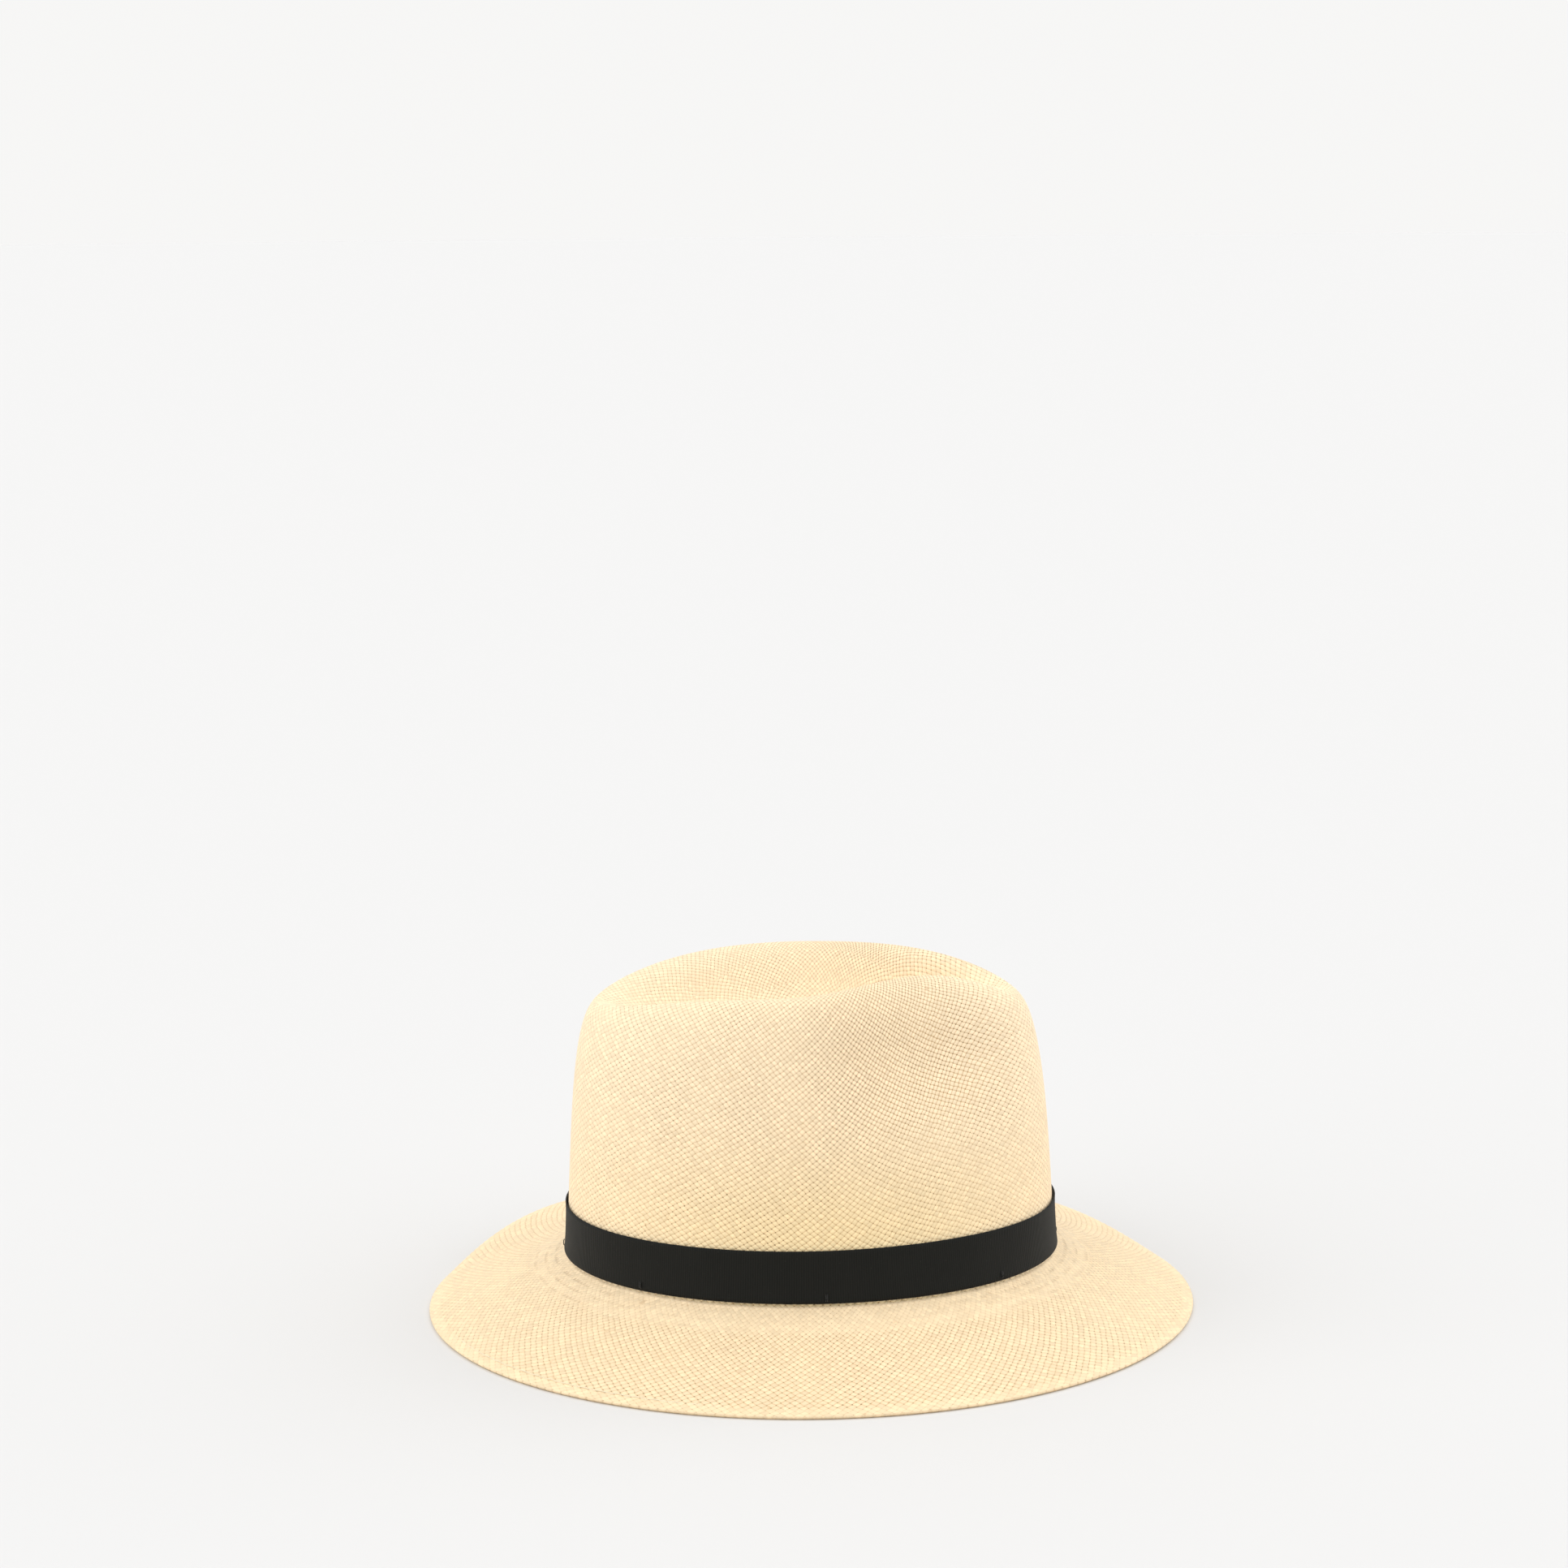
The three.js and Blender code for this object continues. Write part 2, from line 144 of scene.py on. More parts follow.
def ridge_point(angle):
    c, s = np.cos(angle), np.sin(angle)
    pinch = pinch_at(angle)
    reach = np.where(c > 0, RIDGE_FRONT, RIDGE_BACK)
    drop = np.where(c > 0, RIDGE_FRONT_DROP * c ** 4, RIDGE_BACK_DROP * np.abs(c) ** 3)
    return stack(
        reach * np.sign(c) * np.abs(c) ** 1.09 - 0.15 * PINCH_RIDGE * pinch * c,
        RIDGE_SIDE * np.sign(s) * np.abs(s) ** 1.09 - PINCH_RIDGE * pinch * np.tanh(2.5 * s),
        RIDGE_Z - drop + PINCH_LIFT * pinch)


def basin_point(angle):
    c, s = np.cos(angle), np.sin(angle)
    return stack(BASIN_SHIFT + BASIN_LENGTH / 2 * c, BASIN_WIDTH / 2 * (1 - BASIN_TAPER * c) * s, BASIN_Z)


def hub_point():
    return np.array([BASIN_SHIFT, 0.0, BASIN_Z - BASIN_SAG])


def bezier(a, b, c, d, t):
    t = np.asarray(t)[..., None]
    return (1 - t) ** 3 * a + 3 * (1 - t) ** 2 * t * b + 3 * (1 - t) * t * t * c + t ** 3 * d


def brim_curve(angle, t):
    edge, root = edge_point(angle), break_point(angle)
    near_edge = edge + (root - edge) * np.array([0.33, 0.33, 0.30])
    near_root = root + (edge - root) * np.array([0.30, 0.30, 0.30])
    return bezier(edge, near_edge, near_root, root, t)


def wall_curve(angle, t):
    root, ridge = break_point(angle), ridge_point(angle)
    lengthways = np.cos(angle) ** 2
    lean = 0.34 - 0.13 * lengthways
    height = 1.0 - 0.07 * lengthways
    shoulder = 0.66 - 0.345 * lengthways
    lower = root + (ridge - root) * stack(lean, lean, 0.6)
    upper = root + (ridge - root) * stack(shoulder, shoulder, height)
    p = bezier(root, lower, upper, ridge, t)
    level = np.exp(-((p[..., 2] - PINCH_Z) / PINCH_REACH) ** 2)
    inward = stack(0.75 * np.cos(angle), np.sin(angle), 0.0)
    inward = inward / np.linalg.norm(inward, axis=-1, keepdims=True)
    return p - inward * (PINCH_WALL * pinch_at(angle) * level)[..., None]


def top_curve(angle, t):
    ridge, floor = ridge_point(angle), basin_point(angle)
    run = (floor - ridge) * np.array([1, 1, 0])
    length = np.linalg.norm(run, axis=-1, keepdims=True)
    run = run / length
    after_ridge = ridge + run * np.minimum(ROLL_SHARE * length, RIDGE_ROLL)
    before_floor = floor - run * np.minimum(ROLL_SHARE * length, BASIN_ROLL)
    return bezier(ridge, after_ridge, before_floor, floor, t)


def floor_curve(angle, t):
    hub, rim = hub_point(), basin_point(angle)
    return rim + (hub - rim) * np.asarray(t)[..., None]


def outward(angle):
    d = stack(np.cos(angle) / CROWN_LENGTH, np.sin(angle) / CROWN_WIDTH, 0.0)
    return d / np.linalg.norm(d, axis=-1, keepdims=True)


def wall_at(angle, rise):
    """Point of the crown's outer wall at a height above the brim break."""
    angle, rise = np.broadcast_arrays(np.asarray(angle, float), np.asarray(rise, float))
    target = break_point(angle)[..., 2] + rise
    low, high = np.zeros(angle.shape), np.ones(angle.shape)
    for _ in range(26):
        middle = (low + high) / 2
        below = wall_curve(angle, middle)[..., 2] < target
        low, high = np.where(below, middle, low), np.where(below, high, middle)
    return wall_curve(angle, low)


def angle_along(start, distance):
    """Angle that lies a distance along the wall from another angle."""
    step = break_point(start + 0.01) - break_point(start)
    return start + distance / (np.linalg.norm(step[:2]) / 0.01)


# ---- Making meshes -------------------------------------------------------------------------------
def make_piece(name, parts, key):
    """A smooth mesh object from closed parts, each (millimetre points, faces, a vector per face corner)."""
    points, faces, corners, start = [], [], [], 0
    for part_points, part_faces, part_corners in parts:
        points.append(part_points)
        faces += [[v + start for v in face] for face in part_faces]
        corners.append(part_corners)
        start += len(part_points)
    mesh = bpy.data.meshes.new(name)
    mesh.from_pydata((np.concatenate(points) / 1000).tolist(), [], faces)
    layer = mesh.attributes.new(key, "FLOAT_VECTOR", "CORNER")
    layer.data.foreach_set("vector", np.concatenate(corners).astype(np.float32).ravel())
    mesh.polygons.foreach_set("use_smooth", [True] * len(mesh.polygons))
    mesh.update()
    piece = bpy.data.objects.new(name, mesh)
    bpy.context.scene.collection.objects.link(piece)
    return piece


def dress(piece, material, slot, *nodes):
    """Gives a piece its material, hangs it on the root body and hides the CAD parts it stands for."""
    piece.data.materials.append(material)
    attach(piece, "root")
    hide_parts(*nodes)
    return piece


def enclosed_volume(points, quads, triangles):
    total = 0.0
    for rows in (quads, triangles):
        for k in range(1, rows.shape[1] - 1):
            a, b, c = points[rows[:, 0]], points[rows[:, k]], points[rows[:, k + 1]]
            total += float((a * np.cross(b, c)).sum())
    return total


def closed_part(rows, near, far, hubs=None):
    """Closed surface through rows of closed rings: rows is (rings, columns, 3).

    near and far hold the corner vectors of each strip of faces at its first and second ring, with one
    column more than the ring has. As many strips as rings means a tube that closes on itself. Otherwise
    each end is drawn together at its hub, or without hubs filled straight across.
    """
    count, columns = rows.shape[:2]
    i, j = np.meshgrid(np.arange(len(near)), np.arange(columns), indexing="ij")
    after, side = (i + 1) % count, (j + 1) % columns
    corner = np.stack([i * columns + j, i * columns + side, after * columns + side, after * columns + j], -1)
    quads = [corner.reshape(-1, 4)]
    quad_values = [np.stack([near[i, j], near[i, j + 1], far[i, j + 1], far[i, j]], axis=2).reshape(-1, 4, 3)]
    triangles, triangle_values = [np.empty((0, 3), int)], [np.empty((0, 3, 3))]
    points = rows.reshape(-1, 3)
    for end, (row, values) in enumerate(((0, near[0]), (count - 1, far[-1]))):
        turned = slice(None, None, -1) if end == 0 else slice(None)
        if hubs is not None:
            ring = row * columns + np.arange(columns)
            hub = np.full(columns, len(points))
            points = np.concatenate([points, hubs[end][None]])
            tip = (values[:-1] + values[1:]) / 2 * np.array([1, 0, 1])
            triangles.append(np.stack([ring, np.roll(ring, -1), hub], axis=-1)[:, turned])
            triangle_values.append(np.stack([values[:-1], values[1:], tip], axis=1)[:, turned])
        elif len(near) < count:
            k = np.arange(columns // 2 - 1)
            cap = np.stack([k, k + 1, columns - 2 - k, columns - 1 - k], axis=-1)[:, turned]
            quads.append(row * columns + cap)
            quad_values.append(values[cap])
    quads, triangles = np.concatenate(quads), np.concatenate(triangles)
    quad_values, triangle_values = np.concatenate(quad_values), np.concatenate(triangle_values)
    if enclosed_volume(points, quads, triangles) < 0:
        quads, triangles = quads[:, ::-1], triangles[:, ::-1]
        quad_values, triangle_values = quad_values[:, ::-1], triangle_values[:, ::-1]
    corners = np.concatenate([quad_values.reshape(-1, 3), triangle_values.reshape(-1, 3)])
    return points, quads.tolist() + triangles.tolist(), corners


def loft(sections, lengths, closed=False):
    """A bar through sections (count, section points, 3); lengths is how far along each section lies."""
    step = np.linalg.norm(np.roll(sections, -1, axis=1) - sections, axis=-1)
    girth = np.concatenate([np.zeros((len(sections), 1)), np.cumsum(step, axis=1)], axis=1)
    values = stack(np.asarray(lengths)[:, None], girth, 0.0)
    if not closed:
        return closed_part(sections, values[:-1], values[1:])
    last = values[:1].copy()
    last[..., 0] = lengths[-1] + np.linalg.norm(sections[-1].mean(axis=0) - sections[0].mean(axis=0))
    return closed_part(sections, values, np.concatenate([values[1:], last]))


def thread(path, radius, closed=False, sides=8):
    """A round thread along a path of points, which runs along the hat's wall or lies flat."""
    if closed:
        along = np.roll(path, -1, axis=0) - np.roll(path, 1, axis=0)
    else:
        along = np.gradient(path, axis=0)
    along /= np.linalg.norm(along, axis=-1, keepdims=True)
    first = np.cross(along, np.array([0.03, 0.02, 1.0]))
    first /= np.linalg.norm(first, axis=-1, keepdims=True)
    second = np.cross(along, first)
    turn = np.arange(sides) * TAU / sides
    ring = first[:, None] * np.cos(turn)[:, None] + second[:, None] * np.sin(turn)[:, None]
    thickness = np.broadcast_to(radius, (len(path),))[:, None, None]
    step = np.linalg.norm(np.diff(path, axis=0), axis=-1)
    lengths = np.concatenate([[0.0], np.cumsum(step)])
    return loft(path[:, None] + ring * thickness, lengths, closed)


def stitch(start, end, out, height, radius):
    """One stitch: a thread that arches from start to end and is thinner where it goes into the cloth."""
    t = np.linspace(0, 1, 9)[:, None]
    arch = np.sin(np.pi * t) ** 0.6
    path = start + (end - start) * t + out * height * (arch - 0.6)
    return thread(path, radius * (0.55 + 0.45 * arch[:, 0]))


def arc_lengths(angle, rise):
    """Distance along the wall from the first angle to each angle."""
    step = np.linalg.norm(np.diff(wall_at(angle, rise), axis=0), axis=-1)
    return np.concatenate([[0.0], np.cumsum(step)])


def even_rows(curve, angle, count, power=1.0, samples=160):
    """Rings spaced evenly by length along the curve at every angle, and each point's length so far."""
    t = np.broadcast_to(np.linspace(0, 1, samples)[:, None], (samples, len(angle)))
    fine = curve(np.broadcast_to(angle, t.shape), t)
    steps = np.linalg.norm(np.diff(fine, axis=0), axis=-1)
    run = np.concatenate([np.zeros((1, len(angle))), np.cumsum(steps, axis=0)])
    goal = np.linspace(0, 1, count + 1) ** power
    even = np.stack([np.interp(goal * run[-1, k], run[:, k], t[:, k]) for k in range(len(angle))], axis=1)
    return curve(np.broadcast_to(angle, even.shape), even), goal[:, None] * run[-1]


# ---- Straw body ----------------------------------------------------------------------------------
def moved_in(rows, distance):
    """Rings moved along the surface's own normals, away from the outer side."""
    along = np.roll(rows, -1, axis=1) - np.roll(rows, 1, axis=1)
    normal = np.cross(along, np.gradient(rows, axis=0))
    normal /= np.linalg.norm(normal, axis=-1, keepdims=True)
    return rows - normal * distance


def weave_values(rows, reach, edge):
    """(turn, reach, edge distance) at each point, with the first column repeated a full turn on."""
    turn = np.unwrap(np.arctan2(rows[..., 1], rows[..., 0]), axis=1) / TAU
    turn = turn - np.round(turn[:, :1])
    values = stack(turn, reach, edge)
    last = values[:, :1].copy()
    last[..., 0] += 1
    return np.concatenate([values, last], axis=1)


def straw_body(material):
    angle = np.arange(COLUMNS) * TAU / COLUMNS
    brim, brim_run = even_rows(brim_curve, angle, BRIM_ROWS, BRIM_CROWDING)
    wall, wall_run = even_rows(wall_curve, angle, WALL_ROWS)
    top, top_run = even_rows(top_curve, angle, TOP_ROWS)
    floor, floor_run = even_rows(floor_curve, angle, FLOOR_ROWS)
    scallop = stack(np.cos(angle), np.sin(angle), 0.0) * SCALLOP_DEPTH
    brim[0, 1::2] -= scallop[1::2]
    brim[1, 1::2] -= 0.5 * scallop[1::2]
    crown = np.concatenate([wall, top[1:], floor[1:-1]])
    # The weave grows outwards from the middle of the crown's top, and again from the brim break.
    hub = hub_point()
    run = [wall_run, wall_run[-1] + top_run[1:], wall_run[-1] + top_run[-1] + floor_run[1:]]
    run = np.concatenate(run)
    reach = run[-1] - run[:-1]
    brim_values = weave_values(brim, brim_run - brim_run[-1] - 0.001, brim_run)
    crown_values = weave_values(crown, reach, 99.0)
    outer = np.concatenate([brim, crown[1:]])
    inner = moved_in(outer, WOVEN_THICK)[::2]
    level = foot_point(angle)
    inner[0] = level - outward(angle) * RIM_UNDERCUT
    foot = level - outward(angle) * RIM_FOOT
    face = level - outward(angle) * RIM_FACE_INSET + np.array([0, 0, RIM_FACE_HEIGHT])
    rows = np.concatenate([inner[::-1], foot[None], face[None], outer])
    inner_brim, inner_crown = brim_values[::2][::-1], crown_values[::2][::-1]
    rim = np.repeat(brim_values[:1], 3, axis=0)
    near = np.concatenate([inner_crown[:-1], inner_brim[:-1], rim, brim_values[:-1], crown_values[:-1]])
    far = np.concatenate([inner_crown[1:], inner_brim[1:], rim, brim_values[1:], crown_values[1:]])
    part = closed_part(rows, near, far, [hub - np.array([0, 0, WOVEN_THICK]), hub])
    return dress(make_piece("woven_straw_body", [part], "weave"), material, "straw", "straw_body")


# ---- Ribbon and bow ------------------------------------------------------------------------------
def plate(angle, rises, near, far, lengths=None, closed=False):
    """A strip that follows the wall, between two offsets from it, with softened long edges."""
    rises = np.asarray(rises, float)
    near, far = np.broadcast_to(near, rises.shape), np.broadcast_to(far, rises.shape)
    middle = (near + far) / 2
    pulled = rises.copy()
    pulled[0] += 0.2
    pulled[-1] -= 0.2
    around = np.concatenate([pulled, rises[-1:], pulled[::-1], rises[:1]])
    offset = np.concatenate([far, middle[-1:], near[::-1], middle[:1]])
    sections = wall_at(angle[:, None], around[None]) + outward(angle)[:, None] * offset[:, None]
    if lengths is None:
        lengths = arc_lengths(angle, rises[0])
    return loft(sections, lengths, closed)


def hatband(material):
    angle = np.arange(COLUMNS) * TAU / COLUMNS
    share = np.linspace(0, 1, 13)
    lift = BAND_CURL * np.abs(2 * share - 1) ** 3
    part = plate(angle, BAND_LIFT + BAND_HEIGHT * share, GAP + lift, GAP + BAND_THICK - RIBBON_TRIM + lift,
                 closed=True)
    piece = dress(make_piece("hatband_grosgrain", [part], "strip"), material, "ribbon", "hatband_ribbon")
    length = arc_lengths(angle, BAND_LIFT + BAND_HEIGHT / 2)[-1]


def wing_layer(direction, near, far, length, swell):
    """One layer of ribbon of half the bow, from the keeper to its notched end."""
    share = np.linspace(-1, 1, 13)
    steps = np.linspace(0, 1, 20)[:, None]
    reach = length - WING_NOTCH * (1 - np.abs(share))
    angle = angle_along(BOW_ANGLE, direction * (WING_START + (reach - WING_START) * steps))
    rise = BAND_LIFT + BAND_HEIGHT / 2 + (BAND_HEIGHT / 2 - BOW_INSET) * share
    at, out = wall_at(angle, rise), outward(angle)
    puff = (swell * np.sin(np.pi * steps) * (1 - 0.4 * share ** 2))[..., None]
    upper, under = at + out * (far + puff), at + out * (near + puff)
    return loft(np.concatenate([upper, under[:, ::-1]], axis=1), steps[:, 0] * length)


def bow(material):
    near = BAND_THICK + 2 * GAP
    layer = WING_THICK / 2 - WING_TRIM
    upper = near + layer + WING_SPLIT
    for side, direction in (("front", -1), ("rear", 1)):
        under = wing_layer(direction, near, near + layer, WING_LENGTH, 0.0)
        over = wing_layer(direction, upper, upper + layer, WING_LENGTH - WING_STEP, WING_PUFF)
        piece = make_piece(f"bow_{side}_ribbon", [under, over], "strip")
        dress(piece, material, "ribbon", f"bow_{side}_wing")


def keeper(material):
    """The strap round the middle of the bow, pinched in a little at mid height."""
    share = np.linspace(-1, 1, 15)
    rises = BAND_LIFT + BAND_HEIGHT / 2 + (BAND_HEIGHT / 2 - KEEPER_INSET) * share
    across = np.linspace(-1, 1, 13)
    half = KEEPER_WIDTH / 2 * (1 - KEEPER_WAIST + KEEPER_WAIST * share ** 2)
    angle = angle_along(BOW_ANGLE, across[:, None] * half)
    near = BAND_THICK + WING_THICK + 3 * GAP
    fold = KEEPER_FOLD * np.cos(across * math.pi * 2.5) ** 2
    far = near + KEEPER_THICK - KEEPER_TRIM + fold[:, None, None]
    at, out = wall_at(angle, rises), outward(angle)
    sections = np.concatenate([at + out * far, (at + out * near)[:, ::-1]], axis=1)
    part = loft(sections, (across + 1) * KEEPER_WIDTH / 2)
    piece = make_piece("bow_keeper_ribbon", [part], "strip")
    dress(piece, material, "ribbon", "bow_keeper")


def band_tacks(material):
    """Short upright hand stitches that hold the ribbon's lower edge."""
    for i in range(1, TACKS + 1):
        angle = BOW_ANGLE + TAU * i / (TACKS + 1)
        out = outward(angle)
        low, high = (wall_at(angle, BAND_LIFT + 1 + rise) + out * (BAND_THICK + 2 * GAP)
                     for rise in (0, TACK_LENGTH))
        twin = np.cross(out, np.array([0, 0, 1.0])) * 0.3
        strands = [stitch(low + side * twin, high + side * twin, out, TACK_ARCH, TACK_RADIUS)
                   for side in (-1, 1)]
        piece = make_piece(f"band_stitch_{i}", strands, "strip")
        dress(piece, material, "band_thread", f"hatband_tack_{i}")


# ---- Inside of the hat ---------------------------------------------------------------------------
def sweatband(material):
    """Leather strip with its free upper edge a little wavy and its lower edge just above the reed."""
    angle = np.arange(COLUMNS) * TAU / COLUMNS
    share = np.linspace(0, 1, 15)
    rises = SWEAT_LIFT + SWEAT_HEIGHT * share
    wave = 0.25 * np.sin(5 * angle + 1) + 0.2 * np.sin(11 * angle)
    inward = 0.2 * share ** 3
    near, far = STRAW_FACE - SWEAT_THICK - inward, STRAW_FACE - SHEET_TRIM - inward
    middle = (near + far) / 2
    around = np.concatenate([rises, rises[-1:] + 0.15, rises[::-1], rises[:1] - 0.15])
    offset = np.concatenate([far, middle[-1:], near[::-1], middle[:1]])
    weight = np.concatenate([share, [1], share[::-1], [0]]) ** 4
    sections = wall_at(angle[:, None], around + wave[:, None] * weight)
    offset = offset - 0.25 * weight * np.abs(wave)[:, None]
    sections = sections + outward(angle)[:, None] * offset[..., None]
    lengths = arc_lengths(angle, SWEAT_LIFT)
    part = loft(sections, lengths, True)
    piece = make_piece("leather_sweatband", [part], "strip")
    dress(piece, material, "sweat_leather", "sweatband")


def reed(material):
    angle = np.arange(COLUMNS) * TAU / COLUMNS
    path = wall_at(angle, SWEAT_LIFT - REED_RADIUS - GAP) + outward(angle) * (STRAW_FACE - REED_RADIUS)
    part = thread(path, REED_RADIUS, closed=True, sides=14)
    dress(make_piece("sweatband_piping", [part], "strip"), material, "reed", "sweatband_reed")


def seam(material):
    """Running stitches through the sweatband's lower edge."""
    step = TAU / SEAM_STITCHES
    stitches = []
    for i in range(SEAM_STITCHES):
        ends = [wall_at(a, SWEAT_LIFT + SEAM_LIFT) + outward(a) * (SWEAT_FACE - 0.25)
                for a in (i * step, (i + STITCH_SHARE) * step)]
        stitches.append(stitch(ends[0], ends[1], -outward(i * step), SEAM_ARCH, SEAM_RADIUS))
    dress(make_piece("sweatband_stitches", stitches, "strip"), material, "seam_thread",
          "sweatband_seam_thread")


def rear_tape(material):
    angle = angle_along(math.pi, np.linspace(-TAPE_WIDTH / 2, TAPE_WIDTH / 2, 11))
    rises = np.linspace(SWEAT_LIFT + SEAM_LIFT + 1, SWEAT_LIFT + SWEAT_HEIGHT - 1, 15)
    part = plate(angle, rises, SWEAT_FACE - TAPE_THICK, SWEAT_FACE - SHEET_TRIM)
    dress(make_piece("sweatband_joint_tape", [part], "strip"), material, "lining_ribbon",
          "sweatband_rear_tape")


def little_bow(material):
    """The small flat bow that marks the back of the sweatband, with a knot in its middle."""
    near = SWEAT_FACE - TAPE_THICK - GAP
    middle = SWEAT_LIFT + LITTLE_BOW_RISE
    across = np.linspace(-1, 1, 33)
    share = np.linspace(-1, 1, 9)
    half = (LITTLE_BOW_WAIST + (LITTLE_BOW_HEIGHT - LITTLE_BOW_WAIST) * np.sqrt(np.abs(across))) / 2
    angle = angle_along(math.pi, across * LITTLE_BOW_LENGTH / 2)[:, None]
    at = wall_at(angle, middle + half[:, None] * share)
    out = outward(angle)
    crease = np.cos(share * math.pi * 1.5) ** 2 * np.exp(-(across[:, None] / 0.45) ** 2)
    thick = LITTLE_BOW_THICK - LITTLE_BOW_TRIM + LITTLE_BOW_CREASE * crease
    outer, inner = at + out * near, at + out * (near - thick)[..., None]
    wings = loft(np.concatenate([outer, inner[:, ::-1]], axis=1), across * LITTLE_BOW_LENGTH / 2)
    knot_angle = angle_along(math.pi, np.linspace(-KNOT_WIDTH / 2, KNOT_WIDTH / 2, 9))
    knot_rises = np.linspace(middle - KNOT_HEIGHT / 2, middle + KNOT_HEIGHT / 2, 9)
    knot = plate(knot_angle, knot_rises, near - LITTLE_BOW_THICK - SHEET_TRIM, near - SHEET_TRIM)
    dress(make_piece("sweatband_little_bow", [wings, knot], "strip"), material, "lining_ribbon",
          "sweatband_rear_bow")


def label(material, thread_material):
    """A blank woven label with a stitch across each end."""
    centre = -BOW_ANGLE
    angle = angle_along(centre, np.linspace(-LABEL_WIDTH / 2, LABEL_WIDTH / 2, 25))
    low = SWEAT_LIFT + LABEL_LIFT
    rises = np.linspace(low, low + LABEL_HEIGHT, 9)
    part = plate(angle, rises, SWEAT_FACE - LABEL_THICK, SWEAT_FACE - SHEET_TRIM)
    piece = make_piece("blank_label", [part], "strip")
    dress(piece, material, "label", "size_label")
    rows = []
    for side in (-1, 1):
        at = angle_along(centre, side * (LABEL_WIDTH / 2 - LABEL_STITCH_INSET))
        for k in range(LABEL_STITCHES):
            foot = low + 1 + LABEL_STITCH_STEP * k
            ends = [wall_at(at, foot + rise) + outward(at) * (SWEAT_FACE - LABEL_THICK)
                    for rise in (0, LABEL_STITCH_LENGTH)]
            rows.append(stitch(ends[0], ends[1], -outward(at), LABEL_STITCH_ARCH, LABEL_STITCH_RADIUS))
    stitches = make_piece("label_stitches", rows, "strip")
    stitches.data.materials.append(thread_material)
    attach(stitches, "root")


def hem_thread(material):
    """Pale thread inside the brim's finished edge, which comes to the surface along one stretch."""
    angle = np.arange(2 * COLUMNS) * TAU / (2 * COLUMNS)
    share = HEM_THREAD_INSET / np.linalg.norm(break_point(angle) - edge_point(angle), axis=-1)
    path = brim_curve(angle, share * 0.98)
    from_show = np.arctan2(np.sin(angle - THREAD_SHOWS), np.cos(angle - THREAD_SHOWS))
    shows = np.exp(-(from_show / THREAD_REACH) ** 4)
    rise = 0.12 * np.sin(angle * 120) - THREAD_DEPTH + THREAD_RISE * shows
    path = path + np.array([0, 0, 1.0]) * rise[:, None]
    part = thread(path, HEM_THREAD_RADIUS, closed=True, sides=6)
    dress(make_piece("hem_running_thread", [part], "strip"), material, "hem_thread", "brim_hem_thread")


